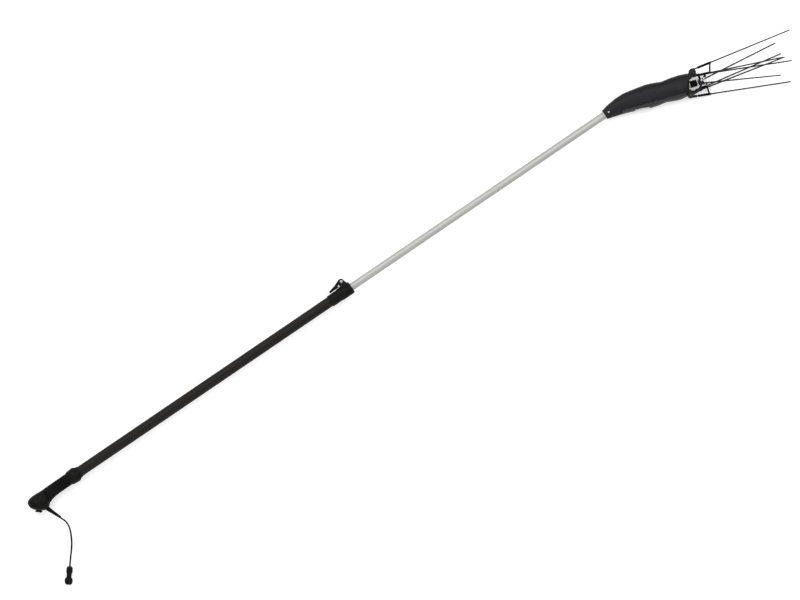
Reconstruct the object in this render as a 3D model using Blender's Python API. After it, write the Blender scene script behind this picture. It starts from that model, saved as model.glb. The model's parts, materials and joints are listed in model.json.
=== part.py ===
"""Battery-powered telescopic olive harvester, lying on its side.

World frame: +X along the pole towards the head, +Z up, the floor at Z = 0.  The origin is the centre of the
flat foot under the gearbox, on the crankshaft's axis.  The head frame has its X along the head and is turned
by the head's bend; its Z = 0 is the height of the pole's axis.  Metres throughout.
"""

import math

import bmesh
import bpy
from mathutils import Matrix, Vector

# ---- driving dimensions: pole -----------------------------------------------------------------------------
AXIS_HEIGHT = 0.036
HEAD_BEND = math.radians(18.6)
SOCKET_BACK = 0.258
SOCKET_OFFSET = -0.0204
UPPER_R = 0.0125
UPPER_WALL = 0.0012
LOWER_R = 0.0176
LOWER_WALL = 0.0014
CLAMP_FRONT = -1.010
CLAMP_LENGTH = 0.086
CLAMP_LIP = 0.012
CLAMP_EAR_HALF = 0.0120
CLAMP_SLOT_HALF = 0.0062
CLAMP_PIN_R = 0.0024
TUBE_OVERLAP = 0.105
SOCKET_DEPTH = 0.040
LOWER_TUBE_LENGTH = 1.214
BUSH_FLANGE = 0.0025
LEAD_R = 0.0030
GAP = 0.0003

# Places along the pole, from the head's socket: the lower tube's ends and the upper tube's tail.
LOWER_FRONT = CLAMP_FRONT - CLAMP_LIP
LOWER_REAR = LOWER_FRONT - LOWER_TUBE_LENGTH
UPPER_TAIL = CLAMP_FRONT - TUBE_OVERLAP
# The lever's pivot, as its offset to the side and its place along the pole.
LEVER_AXIS = (LOWER_R + 0.0159, CLAMP_FRONT - 0.018)

# ---- driving dimensions: handle ---------------------------------------------------------------------------
GRIP_REAR = LOWER_REAR + 0.004
GRIP_LENGTH = 0.094
STOP_LENGTH = 0.045
STOP_R = LOWER_R + 0.0069
HANDLE_WALL = 0.0028
SWITCH_LENGTH = 0.024
SWITCH_WIDTH = 0.016
SWITCH_PLACE = (GRIP_REAR - 0.0455, -0.0300)
SWITCH_RIM = 0.002
SWITCH_WALL = 0.0012
SWITCH_SLOPE = math.radians(-36)
CORD_R = 0.0028
CONNECTOR_R = 0.0105
CONNECTOR_BULB_R = 0.0134
CONNECTOR_LENGTH = 0.061

# ---- driving dimensions: head -----------------------------------------------------------------------------
SHELL_WALL = 0.0026
SEAM_V = -0.0225
COVER_REAR = -0.198
FOOT_R = 0.018
MOTOR_R = 0.0235
MOTOR_FRONT = -0.034
MOTOR_LENGTH = 0.088
GEAR_TEETH = 24
PINION_TEETH = 8
GEAR_PITCH_R = 0.0225
PINION_PITCH_R = GEAR_PITCH_R * PINION_TEETH / GEAR_TEETH
CRANK_R = 0.004
CRANK_PIN_R = 0.003
ROD_LENGTH = 0.020
ROD_PLANE = -0.003
ROD_THICK = 0.005
BEARING_R = 0.011
BEARING_WIDTH = 0.007
SHAFT_R = 0.004
PUSH_R = 0.005
BUSH_R = PUSH_R + 0.0028
PIN_R = 0.002
PIVOT_R = 0.004
HUB_R = 0.009
TINE_R = 0.0025
SLEEVE_R = 0.0041
SOCKET_R = 0.0043
SOCKET_LENGTH = 0.013
SOCKET_FLOOR = 0.003
ARM_R = 0.0036
ARM_HALF = 0.0037
DRIVE_POST_R = 0.0022
LINK_PLAY = 0.0010
NOSE_FACE = 0.0370
EAR_NEAR = 0.0258
EAR_FAR = 0.0188
EAR_THICK = 0.0045
EAR_R = 0.0085
GEAR_BACK = 0.0152
GEAR_FACE = 0.0103
CUP_TOP = -0.0172
GEAR_NEAR_SHARE = 0.66
MOTOR_SHAFT_R = 0.0025
LABEL_THICK = 0.0006

# Places in the head frame.
PIVOT_UPPER = (0.056, 0.037)
PIVOT_LOWER = (0.033, -0.0353)
LINK_ROOT_UPPER = (0.0800, 0.0040)
LINK_ROOT_LOWER = (0.0767, -0.0051)
LINK_END_UPPER = (0.0940, 0.0140)
LINK_END_LOWER = (0.0940, -0.0130)

# Each tine: the point where it leaves its socket, its tip, and its height at the root and at the tip.
TINES = {
    "tine_upper_outer": ((0.062, 0.0450), (0.404, 0.0850), 0.020, 0.031),
    "tine_upper_inner": ((0.062, 0.0235), (0.358, 0.0040), 0.020, 0.029),
    "tine_upper_cross": ((0.068, 0.0244), (0.385, -0.0140), 0.011, 0.012),
    "tine_upper_centre": ((0.082, 0.0045), (0.350, 0.0573), -0.013, -0.019),
    "tine_lower_outer": ((0.049, -0.0411), (0.366, -0.0790), -0.020, -0.031),
    "tine_lower_inner": ((0.044, -0.0243), (0.360, 0.0190), -0.020, -0.029),
    "tine_lower_cross": ((0.070, -0.0255), (0.368, 0.0045), -0.011, -0.012),
    "tine_lower_centre": ((0.082, -0.0065), (0.338, -0.0510), 0.013, 0.019),
}

# Head shell stations: distance along the head, side offset, half width, half height, turn, roundness.
HEAD_STATIONS = (
    (-SOCKET_BACK, SOCKET_OFFSET, 0.0165, 0.0165, math.degrees(HEAD_BEND), 2.0),
    (-0.240, -0.0146, 0.0215, 0.0205, 16.0, 2.1),
    (-0.207, -0.0060, 0.0285, 0.0265, 10.0, 2.4),
    (-0.178, -0.0015, 0.0335, 0.0310, 5.0, 2.7),
    (-0.135, 0.0005, 0.0367, 0.0335, 0.0, 3.0),
    (-0.104, 0.0000, 0.0400, 0.0345, 0.0, 3.0),
    (-0.077, 0.0000, 0.0388, 0.0345, 0.0, 3.0),
    (-0.050, 0.0000, 0.0352, 0.0345, 0.0, 3.0),
    (-0.022, 0.0000, 0.0388, 0.0345, 0.0, 3.0),
    (0.004, 0.0005, 0.0405, 0.0345, -8.0, 3.0),
    (0.026, 0.0010, 0.0392, 0.0335, -16.0, 2.8),
)

# Cord route on the floor, from the strain relief to the connector (world X, Y, Z), chosen by hand.
CORD_ROUTE = (
    (-2.4840, -0.0275, 0.0290),
    (-2.4800, -0.0370, 0.0262),
    (-2.4775, -0.0450, 0.0225),
    (-2.4768, -0.0535, 0.0175),
    (-2.4778, -0.0625, 0.0120),
    (-2.4800, -0.0715, 0.0075),
    (-2.4830, -0.0800, 0.0045),
    (-2.4868, -0.0890, 0.0032),
    (-2.4915, -0.0985, 0.0030),
    (-2.4970, -0.1085, 0.0030),
    (-2.5030, -0.1180, 0.0030),
    (-2.5095, -0.1270, 0.0034),
    (-2.5165, -0.1360, 0.0044),
    (-2.5240, -0.1450, 0.0064),
    (-2.5315, -0.1540, 0.0092),
    (-2.5385, -0.1627, 0.0118),
    (-2.5445, -0.1702, 0.0131),
    (-2.5498, -0.1768, 0.0134),
)

ROUND = 24
MEDIUM = 16
SMALL = 10


# ---- materials and objects --------------------------------------------------------------------------------
def material(name, colour, roughness, metallic=0.0):
    mat = bpy.data.materials.new(name)
    mat.use_nodes = True
    shader = mat.node_tree.nodes["Principled BSDF"]
    shader.inputs["Base Color"].default_value = (*colour, 1.0)
    shader.inputs["Roughness"].default_value = roughness
    shader.inputs["Metallic"].default_value = metallic
    return mat


LOOKS = {
    "black_plastic": ((0.018, 0.018, 0.020), 0.45, 0.0),
    "grey_plastic": ((0.10, 0.10, 0.10), 0.5, 0.0),
    "black_tube": ((0.022, 0.018, 0.016), 0.5, 0.2),
    "rubber": ((0.015, 0.014, 0.014), 0.8, 0.0),
    "aluminium": ((0.55, 0.55, 0.53), 0.4, 1.0),
    "steel": ((0.45, 0.45, 0.46), 0.3, 1.0),
    "carbon": ((0.02, 0.02, 0.02), 0.35, 0.0),
    "nylon": ((0.70, 0.68, 0.62), 0.5, 0.0),
    "board": ((0.02, 0.12, 0.05), 0.5, 0.0),
    "label": ((0.62, 0.62, 0.60), 0.5, 0.0),
    "copper_lead": ((0.03, 0.03, 0.03), 0.6, 0.0),
}


def new_object(name, bm, look, parent=None, location=(0, 0, 0), rotation=(0, 0, 0)):
    """An object with the bmesh's faces, its own material, placed under its parent."""
    bmesh.ops.recalc_face_normals(bm, faces=bm.faces)
    mesh = bpy.data.meshes.new(name)
    bm.to_mesh(mesh)
    bm.free()
    mesh.shade_smooth()
    mesh.set_sharp_from_angle(angle=math.radians(35))
    colour, roughness, metallic = LOOKS[look]
    mesh.materials.append(material(name, colour, roughness, metallic))
    obj = bpy.data.objects.new(name, mesh)
    obj.location = location
    obj.rotation_euler = rotation
    obj.parent = parent
    bpy.context.scene.collection.objects.link(obj)
    return obj


def boolean(target, tool_mesh, operation, parent, solver="EXACT"):
    """Adds a cut, join or common-part modifier to the target, with a hidden tool object."""
    tool = new_object(target.name + "_tool", tool_mesh, "steel", parent)
    tool.hide_render = True
    tool.display_type = "WIRE"
    modifier = target.modifiers.new(operation.lower(), "BOOLEAN")
    modifier.operation = operation
    modifier.solver = solver
    modifier.object = tool


def empty(name, parent=None, location=(0, 0, 0), rotation=(0, 0, 0)):
    obj = bpy.data.objects.new(name, None)
    obj.location = location
    obj.rotation_euler = rotation
    obj.parent = parent
    bpy.context.scene.collection.objects.link(obj)
    return obj


# ---- mesh builders ----------------------------------------------------------------------------------------
def skin(bm, rings, closed=False):
    """Joins rings of vertices with faces; a closed skin also joins the last ring to the first."""
    pairs = list(zip(rings, rings[1:]))
    if closed:
        pairs.append((rings[-1], rings[0]))
    for near, far in pairs:
        count = max(len(near), len(far))
        for i in range(count):
            j = (i + 1) % count
            if len(near) == 1:
                bm.faces.new((near[0], far[i], far[j]))
            elif len(far) == 1:
                bm.faces.new((near[i], near[j], far[0]))
            else:
                bm.faces.new((near[i], near[j], far[j], far[i]))


def lathe(profile, segments=ROUND):
    """A solid turned about local Z from (radius, z) points; a profile off the axis closes on itself."""
    bm = bmesh.new()
    rings = []
    for radius, z in profile:
        if radius < 1e-7:
            rings.append([bm.verts.new((0, 0, z))])
            continue
        turns = [2 * math.pi * i / segments for i in range(segments)]
        rings.append([bm.verts.new((radius * math.cos(t), radius * math.sin(t), z)) for t in turns])
    skin(bm, rings, closed=len(rings[0]) > 1)
    return bm


def loft(rings):
    """A solid through rings of points, with flat ends."""
    bm = bmesh.new()
    loops = [[bm.verts.new(p) for p in ring] for ring in rings]
    skin(bm, loops)
    bm.faces.new(loops[0])
    bm.faces.new(loops[-1])
    return bm


def box(low, high):
    bm = bmesh.new()
    bmesh.ops.create_cube(bm, size=1.0)
    size = Vector(high) - Vector(low)
    middle = (Vector(high) + Vector(low)) / 2
    bmesh.ops.transform(bm, matrix=Matrix.Translation(middle) @ Matrix.Diagonal((*size, 1.0)), verts=bm.verts)
    return bm


def prism(outline, bottom, top):
    return loft([[(x, y, z) for x, y in outline] for z in (bottom, top)])


def rod(radius, start, end, segments=SMALL):
    """A cylinder between two points."""
    start, end = Vector(start), Vector(end)
    along = end - start
    turn = along.to_track_quat("Z", "Y").to_matrix().to_4x4()
    bm = lathe([(0, 0), (radius, 0), (radius, along.length), (0, along.length)], segments)
    bmesh.ops.transform(bm, matrix=Matrix.Translation(start) @ turn, verts=bm.verts)
    return bm


def capsule(first, second, first_r, second_r, segments=8):
    """The outline around two circles, as (x, y) points."""
    (x0, y0), (x1, y1) = first, second
    heading = math.atan2(y1 - y0, x1 - x0)
    lean = math.acos((first_r - second_r) / math.hypot(x1 - x0, y1 - y0))
    outline = []
    for (x, y), r, begin, sweep in (
        ((x1, y1), second_r, heading - lean, 2 * lean),
        ((x0, y0), first_r, heading + lean, 2 * math.pi - 2 * lean),
    ):
        for i in range(segments + 1):
            turn = begin + sweep * i / segments
            outline.append((x + r * math.cos(turn), y + r * math.sin(turn)))
    return outline


def oval(half_width, half_height, roundness, segments=ROUND):
    """Points (side, up) of a superellipse."""
    points = []
    for i in range(segments):
        turn = 2 * math.pi * i / segments
        c, s = math.cos(turn), math.sin(turn)
        side = half_width * math.copysign(abs(c) ** (2 / roundness), c)
        up = half_height * math.copysign(abs(s) ** (2 / roundness), s)
        points.append((side, up))
    return points


def station_ring(station, inset=0.0, segments=32):
    """One cross-section of the head shell, in the head frame, moved in by the inset."""
    along, offset, half_width, half_height, turn, roundness = station
    turn = math.radians(turn)
    ring = []
    for side, up in oval(half_width - inset, half_height - inset, roundness, segments):
        ring.append((along - math.sin(turn) * side, offset + math.cos(turn) * side, up))
    return ring


def head_section(along):
    """The head shell's side offset, half width and half height at a distance along the head."""
    for near, far in zip(HEAD_STATIONS, HEAD_STATIONS[1:]):
        if near[0] <= along <= far[0]:
            share = (along - near[0]) / (far[0] - near[0])
            return [near[k] + share * (far[k] - near[k]) for k in (1, 2, 3)]
    raise ValueError(along)


# ---- pole -------------------------------------------------------------------------------------------------
def tube(name, outer_r, wall, rear, front, look, parent):
    inner_r = outer_r - wall
    profile = [(outer_r, front), (outer_r, rear), (inner_r, rear), (inner_r, front)]
    return new_object(name, lathe(profile), look, parent)


def build_pole(pole):
    """The two tubes, the bushes that guide one in the other, and the coiled lead behind them."""
    tube("upper_tube", UPPER_R, UPPER_WALL, UPPER_TAIL, SOCKET_DEPTH - GAP, "aluminium", pole)
    tube("lower_tube", LOWER_R, LOWER_WALL, LOWER_REAR, LOWER_FRONT, "black_tube", pole)

    bore = LOWER_R - LOWER_WALL - GAP
    slide = UPPER_R + GAP
    flange_top, flange_under = LOWER_FRONT + BUSH_FLANGE, LOWER_FRONT + GAP
    bush_tail = LOWER_FRONT - 0.045
    bush = [(slide, bush_tail), (bore, bush_tail), (bore, flange_under)]
    bush += [(LOWER_R, flange_under), (LOWER_R, flange_top), (slide, flange_top)]
    new_object("guide_bush", lathe(bush, MEDIUM), "nylon", pole)

    lead_hole = LEAD_R + GAP
    spigot = UPPER_R - UPPER_WALL - GAP
    plug_front, plug_tail = UPPER_TAIL + 0.014, UPPER_TAIL - 0.020
    plug = [(lead_hole, plug_tail), (bore, plug_tail), (bore, UPPER_TAIL - GAP)]
    plug += [(spigot, UPPER_TAIL - GAP), (spigot, plug_front), (lead_hole, plug_front)]
    new_object("tail_bush", lathe(plug, MEDIUM), "nylon", pole)

    coil_front, coil_rear, coil_bore = plug_tail - 0.0005, LOWER_REAR + 0.012, 0.0100
    coil = [(coil_bore, coil_front), (coil_bore, coil_rear), (bore, coil_rear), (bore, coil_front)]
    new_object("coiled_lead", lathe(coil, MEDIUM), "copper_lead", pole)


def build_clamp(pole):
    """The clamp collar with its ears, cam lever, pivot pin and adjusting screw."""
    rear = CLAMP_FRONT - CLAMP_LENGTH
    over_lower, over_upper = LOWER_R + GAP, UPPER_R + GAP
    shoulder = LOWER_FRONT + BUSH_FLANGE + GAP
    thin, thick = LOWER_R + 0.0024, LOWER_R + 0.0036
    profile = [(0, rear), (LOWER_R + 0.0017, rear), (thin, rear + 0.002), (thin, CLAMP_FRONT - 0.050)]
    profile += [(thick, CLAMP_FRONT - 0.046), (thick, CLAMP_FRONT - 0.004)]
    profile += [(LOWER_R + 0.0014, CLAMP_FRONT), (0, CLAMP_FRONT)]
    collar = new_object("clamp_collar", lathe(profile), "black_plastic", pole)

    # The pole frame's X points down and its Y to the side, so an ear's outline is drawn in side and along.
    axis_side, axis_along = LEVER_AXIS
    half = CLAMP_EAR_HALF
    outline = capsule((LOWER_R - 0.0026, CLAMP_FRONT - 0.019), LEVER_AXIS, 0.0150, 0.0085, 8)
    ears = loft([[(x, side, along) for side, along in outline] for x in (-half, half)])
    boolean(collar, ears, "UNION", pole)
    slot_low = (-CLAMP_SLOT_HALF, LOWER_R + 0.0046, CLAMP_FRONT - 0.060)
    slot_high = (CLAMP_SLOT_HALF, LOWER_R + 0.0424, CLAMP_FRONT + 0.010)
    boolean(collar, box(slot_low, slot_high), "DIFFERENCE", pole)
    bores = [(0, rear - 0.01), (over_lower, rear - 0.01), (over_lower, shoulder), (over_upper, shoulder)]
    bores += [(over_upper, CLAMP_FRONT + 0.01), (0, CLAMP_FRONT + 0.01)]
    boolean(collar, lathe(bores), "DIFFERENCE", pole)
    hole = rod(CLAMP_PIN_R + GAP, (-0.03, axis_side, axis_along), (0.03, axis_side, axis_along))
    boolean(collar, hole, "DIFFERENCE", pole)

    screw_along, screw_side, screw_r = CLAMP_FRONT - 0.034, LOWER_R + 0.0074, 0.0015
    screw_start = (-half - 0.01, screw_side, screw_along)
    screw_stop = (-half + 0.004, screw_side, screw_along)
    boolean(collar, rod(screw_r + GAP, screw_start, screw_stop), "DIFFERENCE", pole)
    screw = [(0, 0.0032), (0.0036, 0.0026), (0.0040, GAP), (screw_r, GAP), (screw_r, -0.0035), (0, -0.0035)]
    place = (-half, screw_side, screw_along)
    new_object("clamp_screw", lathe(screw, SMALL), "steel", pole, place, (0, -math.pi / 2, 0))

    lever_frame = empty("clamp_lever_axis", pole, (0, axis_side, axis_along))
    width = CLAMP_SLOT_HALF - GAP
    shape = [(0.0100, 0.0020), (0.0110, -0.0040), (0.0088, -0.0095), (0.0020, -0.0250), (-0.0020, -0.0400)]
    shape += [(-0.0045, -0.0520), (-0.0080, -0.0535), (-0.0095, -0.0500), (-0.0090, -0.0350)]
    shape += [(-0.0092, -0.0100), (-0.0095, 0.0000), (-0.0070, 0.0066), (0.0000, 0.0094), (0.0070, 0.0072)]
    lever = loft([[(x, side, along) for side, along in shape] for x in (-width, width)])
    lever_object = new_object("clamp_lever", lever, "black_plastic", lever_frame)
    boolean(lever_object, rod(CLAMP_PIN_R + GAP, (-0.03, 0, 0), (0.03, 0, 0)), "DIFFERENCE", lever_frame)
    head_r = 2 * CLAMP_PIN_R
    pin = [(0, half + 0.0022), (head_r, half + 0.0018), (head_r, half + GAP), (CLAMP_PIN_R, half + GAP)]
    pin += [(CLAMP_PIN_R, -half - 0.0010), (0, -half - 0.0010)]
    new_object("clamp_pin", lathe(pin, MEDIUM), "steel", pole, (0, *LEVER_AXIS), (0, -math.pi / 2, 0))


# ---- handle -----------------------------------------------------------------------------------------------
# Pommel stations: distance along the pole, side offset, half width, half height.
POMMEL_STATIONS = (
    (GRIP_REAR - 0.0005, -0.0050, LOWER_R + 0.0069, LOWER_R + 0.0064),
    (GRIP_REAR - 0.0100, -0.0092, LOWER_R + 0.0116, LOWER_R + 0.0114),
    (GRIP_REAR - 0.0240, -0.0108, LOWER_R + 0.0142, LOWER_R + 0.0169),
    (GRIP_REAR - 0.0360, -0.0078, LOWER_R + 0.0114, LOWER_R + 0.0184),
    (GRIP_REAR - 0.0480, -0.0045, LOWER_R + 0.0069, LOWER_R + 0.0169),
    (GRIP_REAR - 0.0580, -0.0010, 0.0175, 0.0270),
    (GRIP_REAR - 0.0640, 0.0010, 0.0090, 0.0150),
)
GRIP_STATIONS = (
    (GRIP_REAR + GAP, -0.0048, LOWER_R + 0.0066, LOWER_R + 0.0062),
    (GRIP_REAR + 0.014, -0.0022, LOWER_R + 0.0046, LOWER_R + 0.0042),
    (GRIP_REAR + 0.030, -0.0008, LOWER_R + 0.0032, LOWER_R + 0.0030),
    (GRIP_REAR + 0.060, 0.0000, LOWER_R + 0.0026, LOWER_R + 0.0026),
    (GRIP_REAR + GRIP_LENGTH, 0.0000, LOWER_R + 0.0028, LOWER_R + 0.0028),
)


def pole_ring(station, inset, roundness, segments=ROUND):
    along, offset, half_width, half_height = station
    outline = oval(half_width - inset, half_height - inset, roundness, segments)
    return [(up, offset + side, along) for side, up in outline]


def switch_frame(pole):
    along, side = SWITCH_PLACE
    # local Z points out of the pommel, local X along the switch, local Y across it
    out = Vector((0, -math.cos(SWITCH_SLOPE), math.sin(SWITCH_SLOPE)))
    across = Vector((1, 0, 0))
    length = across.cross(out)
    turn = Matrix((length, across, out)).transposed().to_euler()
    return empty("switch_axis", pole, (0, side, along), turn)


RELIEF_R = 0.0075
RELIEF_MIDDLE_R = 0.0060
RELIEF_TIP_R = CORD_R + 0.0014
RELIEF_ROOT = Vector((-0.0010, -0.0385, GRIP_REAR - 0.0195))
RELIEF_END = Vector((0.0068, -0.0895, GRIP_REAR))


def build_handle(pole):
    """The pommel's two half shells with the switch and the cord, the grip sleeve and the hand stop."""
    switch = switch_frame(pole)
    inner = [(a, o, w - HANDLE_WALL, h - HANDLE_WALL) for a, o, w, h in POMMEL_STATIONS[1:-1]]
    relief_way = (RELIEF_END - RELIEF_ROOT).normalized()
    for name, low, high in (("pommel_front_shell", -0.06, -GAP / 2), ("pommel_rear_shell", GAP / 2, 0.06)):
        outer = loft([pole_ring(s, 0, 2.3) for s in POMMEL_STATIONS])
        shell = new_object(name, outer, "black_plastic", pole)
        boolean(shell, loft([pole_ring(s, 0, 2.3) for s in inner]), "DIFFERENCE", pole)
        tube_bore = rod(LOWER_R + GAP, (0, 0, GRIP_REAR - 0.018), (0, 0, GRIP_REAR + 0.032), ROUND)
        boolean(shell, tube_bore, "DIFFERENCE", pole)
        half, wide = SWITCH_LENGTH / 2 - SWITCH_RIM, SWITCH_WIDTH / 2 - SWITCH_RIM
        hole = box((-half, -wide, -0.014), (half, wide, 0.02))
        boolean(shell, hole, "DIFFERENCE", switch)
        hole_start, hole_stop = RELIEF_ROOT - relief_way * 0.012, RELIEF_ROOT + relief_way * 0.03
        relief_hole = rod(RELIEF_R + GAP, hole_start, hole_stop, ROUND)
        boolean(shell, relief_hole, "DIFFERENCE", pole)
        half_space = box((low, -0.08, GRIP_REAR - 0.098), (high, 0.08, GRIP_REAR + 0.032))
        boolean(shell, half_space, "INTERSECT", pole)

    grip = new_object("grip_sleeve", loft([pole_ring(s, 0, 2.0) for s in GRIP_STATIONS]), "rubber", pole)
    grip_bore = rod(LOWER_R + GAP, (0, 0, GRIP_REAR - 0.07), (0, 0, GRIP_REAR + GRIP_LENGTH + 0.1), ROUND)
    boolean(grip, grip_bore, "DIFFERENCE", pole)

    rear = GRIP_REAR + GRIP_LENGTH + GAP
    bore = LOWER_R + GAP
    profile = [(bore, rear), (STOP_R - 0.0030, rear), (STOP_R - 0.0005, rear + 0.006), (STOP_R, rear + 0.014)]
    profile += [(STOP_R + 0.0010, rear + 0.026), (STOP_R, rear + 0.031), (STOP_R - 0.0040, rear + 0.036)]
    profile += [(LOWER_R + 0.0012, rear + STOP_LENGTH), (bore, rear + STOP_LENGTH)]
    new_object("hand_stop", lathe(profile), "black_plastic", pole)
    build_switch(switch)
    build_cord(pole, relief_way)


def build_switch(switch):
    """A rocker switch in the pommel's slanted face; the rocker turns about the switch frame's Y."""
    half, wide = SWITCH_LENGTH / 2, SWITCH_WIDTH / 2
    body_half, body_wide = half - SWITCH_RIM - GAP, wide - SWITCH_RIM - GAP
    recess_half, recess_wide = body_half - SWITCH_WALL, body_wide - SWITCH_WALL
    rim = box((-half, -wide, 0.0034), (half, wide, 0.0056))
    bezel = new_object("switch_bezel", rim, "black_plastic", switch)
    boolean(bezel, box((-body_half, -body_wide, -0.0090), (body_half, body_wide, 0.0050)), "UNION", switch)
    recess = box((-recess_half, -recess_wide, -0.0050), (recess_half, recess_wide, 0.02))
    boolean(bezel, recess, "DIFFERENCE", switch)
    reach, side = recess_half - 2 * GAP, recess_wide - GAP
    outline = [(-reach, 0.0010), (-reach + 0.0015, 0.0082), (0, 0.0060), (reach - 0.0002, 0.0060)]
    outline += [(reach - 0.0006, 0.0020), (0.0040, -0.0040), (0.0, -0.0046), (-0.0040, -0.0040)]
    rocker = loft([[(x, y, z) for x, z in outline] for y in (-side, side)])
    rocker_axis = empty("rocker_axis", switch, (0, 0, 0))
    new_object("switch_rocker", rocker, "black_plastic", rocker_axis)


def build_cord(pole, relief_way):
    """Strain relief, cord and the two-part connector on its end."""
    length = (RELIEF_END - RELIEF_ROOT).length
    turn = relief_way.to_track_quat("Z", "Y").to_euler()
    tip = length - 2 * GAP
    profile = [(0, -0.0045), (RELIEF_R, -0.0045), (RELIEF_R - 0.0002, 0.0060)]
    profile += [(RELIEF_MIDDLE_R, 0.0200), (RELIEF_TIP_R, tip), (0, tip)]
    new_object("strain_relief", lathe(profile, MEDIUM), "rubber", pole, RELIEF_ROOT, turn)

    curve = bpy.data.curves.new("power_cord", "CURVE")
    curve.dimensions = "3D"
    points = smooth_route(CORD_ROUTE, 2)
    spline = curve.splines.new("POLY")
    spline.points.add(len(points) - 1)
    for slot, point in zip(spline.points, points):
        slot.co = (*point, 1.0)
    curve.bevel_depth = CORD_R
    curve.bevel_resolution = 2
    curve.use_fill_caps = True
    curve.materials.append(material("power_cord", *LOOKS["rubber"]))
    bpy.context.scene.collection.objects.link(bpy.data.objects.new("power_cord", curve))

    end = Vector(CORD_ROUTE[-1])
    way = Vector((-0.627, -0.779, 0.0)).normalized()
    turn = way.to_track_quat("Z", "Y").to_euler()
    joint = CONNECTOR_LENGTH * 0.60
    r, bulb = CONNECTOR_R, CONNECTOR_BULB_R
    body = [(0, GAP), (0.0055, GAP), (0.0085, 0.0025), (r, 0.0060), (r, 0.0190), (0.0086, 0.0245)]
    body += [(0.0082, joint), (0, joint)]
    new_object("connector_body", lathe(body, MEDIUM), "black_plastic", None, end, turn)
    cap = [(0, joint + GAP), (0.0090, joint + GAP), (0.0120, joint + 0.004), (bulb, joint + 0.0095)]
    cap += [(bulb, joint + 0.0150), (0.0118, joint + 0.0205)]
    cap += [(0.0085, CONNECTOR_LENGTH), (0, CONNECTOR_LENGTH)]
    new_object("connector_cap", lathe(cap, MEDIUM), "black_plastic", None, end, turn)


def smooth_route(route, per_span):
    """Points on the smooth curve through the route's points."""
    points = [Vector(p) for p in route]
    padded = [2 * points[0] - points[1]] + points + [2 * points[-1] - points[-2]]
    result = []
    for a, b, c, d in zip(padded, padded[1:], padded[2:], padded[3:]):
        for k in range(per_span):
            t = k / per_span
            square = (2 * a - 5 * b + 4 * c - d) * t**2
            cube = (3 * b - a - 3 * c + d) * t**3
            result.append((2 * b + (c - a) * t + square + cube) / 2)
    result.append(points[-1])
    return result


# ---- head shell -------------------------------------------------------------------------------------------
def hollow_head(name, look, head, pole):
    """The whole head shell, hollow, with the tube's bore and the front opening."""
    shell = new_object(name, loft([station_ring(s) for s in HEAD_STATIONS]), look, head)
    for side in (-1, 1):
        inside = side * (HEAD_STATIONS[8][3] - 0.0018)
        outside = side * AXIS_HEIGHT
        foot = lathe([(0, outside), (FOOT_R, outside), (FOOT_R, inside), (0, inside)])
        boolean(shell, foot, "UNION", head)
    inner = [station_ring(s, SHELL_WALL) for s in HEAD_STATIONS[2:]]
    beyond = HEAD_STATIONS[-1]
    inner.append(station_ring((beyond[0] + 0.02, *beyond[1:]), SHELL_WALL))
    boolean(shell, loft(inner), "DIFFERENCE", head)
    boolean(shell, rod(UPPER_R + GAP, (0, 0, -0.02), (0, 0, SOCKET_DEPTH), ROUND), "DIFFERENCE", pole)
    lead_way = rod(0.0065, (0, 0, SOCKET_DEPTH - 0.005), (0, 0, SOCKET_DEPTH + 0.025), MEDIUM)
    boolean(shell, lead_way, "DIFFERENCE", pole)
    return shell


def build_head_shell(head, pole):
    """The main shell, the side cover below the seam, the socket's screw and the bare label on the cover."""
    main = hollow_head("main_shell", "black_plastic", head, pole)
    boolean(main, box((COVER_REAR, -0.08, -0.06), (0.08, SEAM_V, 0.06)), "DIFFERENCE", head)
    screw_along, screw_r = 0.015, 0.0016
    boolean(main, rod(screw_r + 0.0002, (-0.03, 0, screw_along), (0, 0, screw_along)), "DIFFERENCE", pole)
    cover = hollow_head("side_cover", "grey_plastic", head, pole)
    boolean(cover, box((COVER_REAR + GAP, -0.08, -0.06), (0.08, SEAM_V - GAP, 0.06)), "INTERSECT", head)

    neck_half_height = head_section(-SOCKET_BACK + screw_along * math.cos(HEAD_BEND))[2]
    top = -neck_half_height - 3 * GAP
    tip = -UPPER_R - GAP
    screw = [(0, top - 0.0020), (0.0030, top - 0.0016), (0.0034, top)]
    screw += [(screw_r, top), (screw_r, tip), (0, tip)]
    flipped = [(r, -z) for r, z in screw]
    turn = (0, -math.pi / 2, 0)
    new_object("socket_screw", lathe(flipped, SMALL), "steel", pole, (0, 0, screw_along), turn)

    rings = []
    for along in (-0.158, -0.135, -0.110):
        offset, half_width, half_height = head_section(along)
        arcs = []
        for rise in (0.0, LABEL_THICK):
            arc = []
            for turn in (148, 156, 164, 172, 180):
                t = math.radians(turn)
                c, s = math.cos(t), math.sin(t)
                side = (half_width + GAP + rise) * math.copysign(abs(c) ** (2 / 3.0), c)
                up = (half_height + GAP + rise) * math.copysign(abs(s) ** (2 / 3.0), s)
                arc.append((along, offset + side, up))
            arcs.append(arc)
        rings.append(arcs[0] + arcs[1][::-1])
    new_object("blank_label", loft(rings), "label", head)


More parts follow.
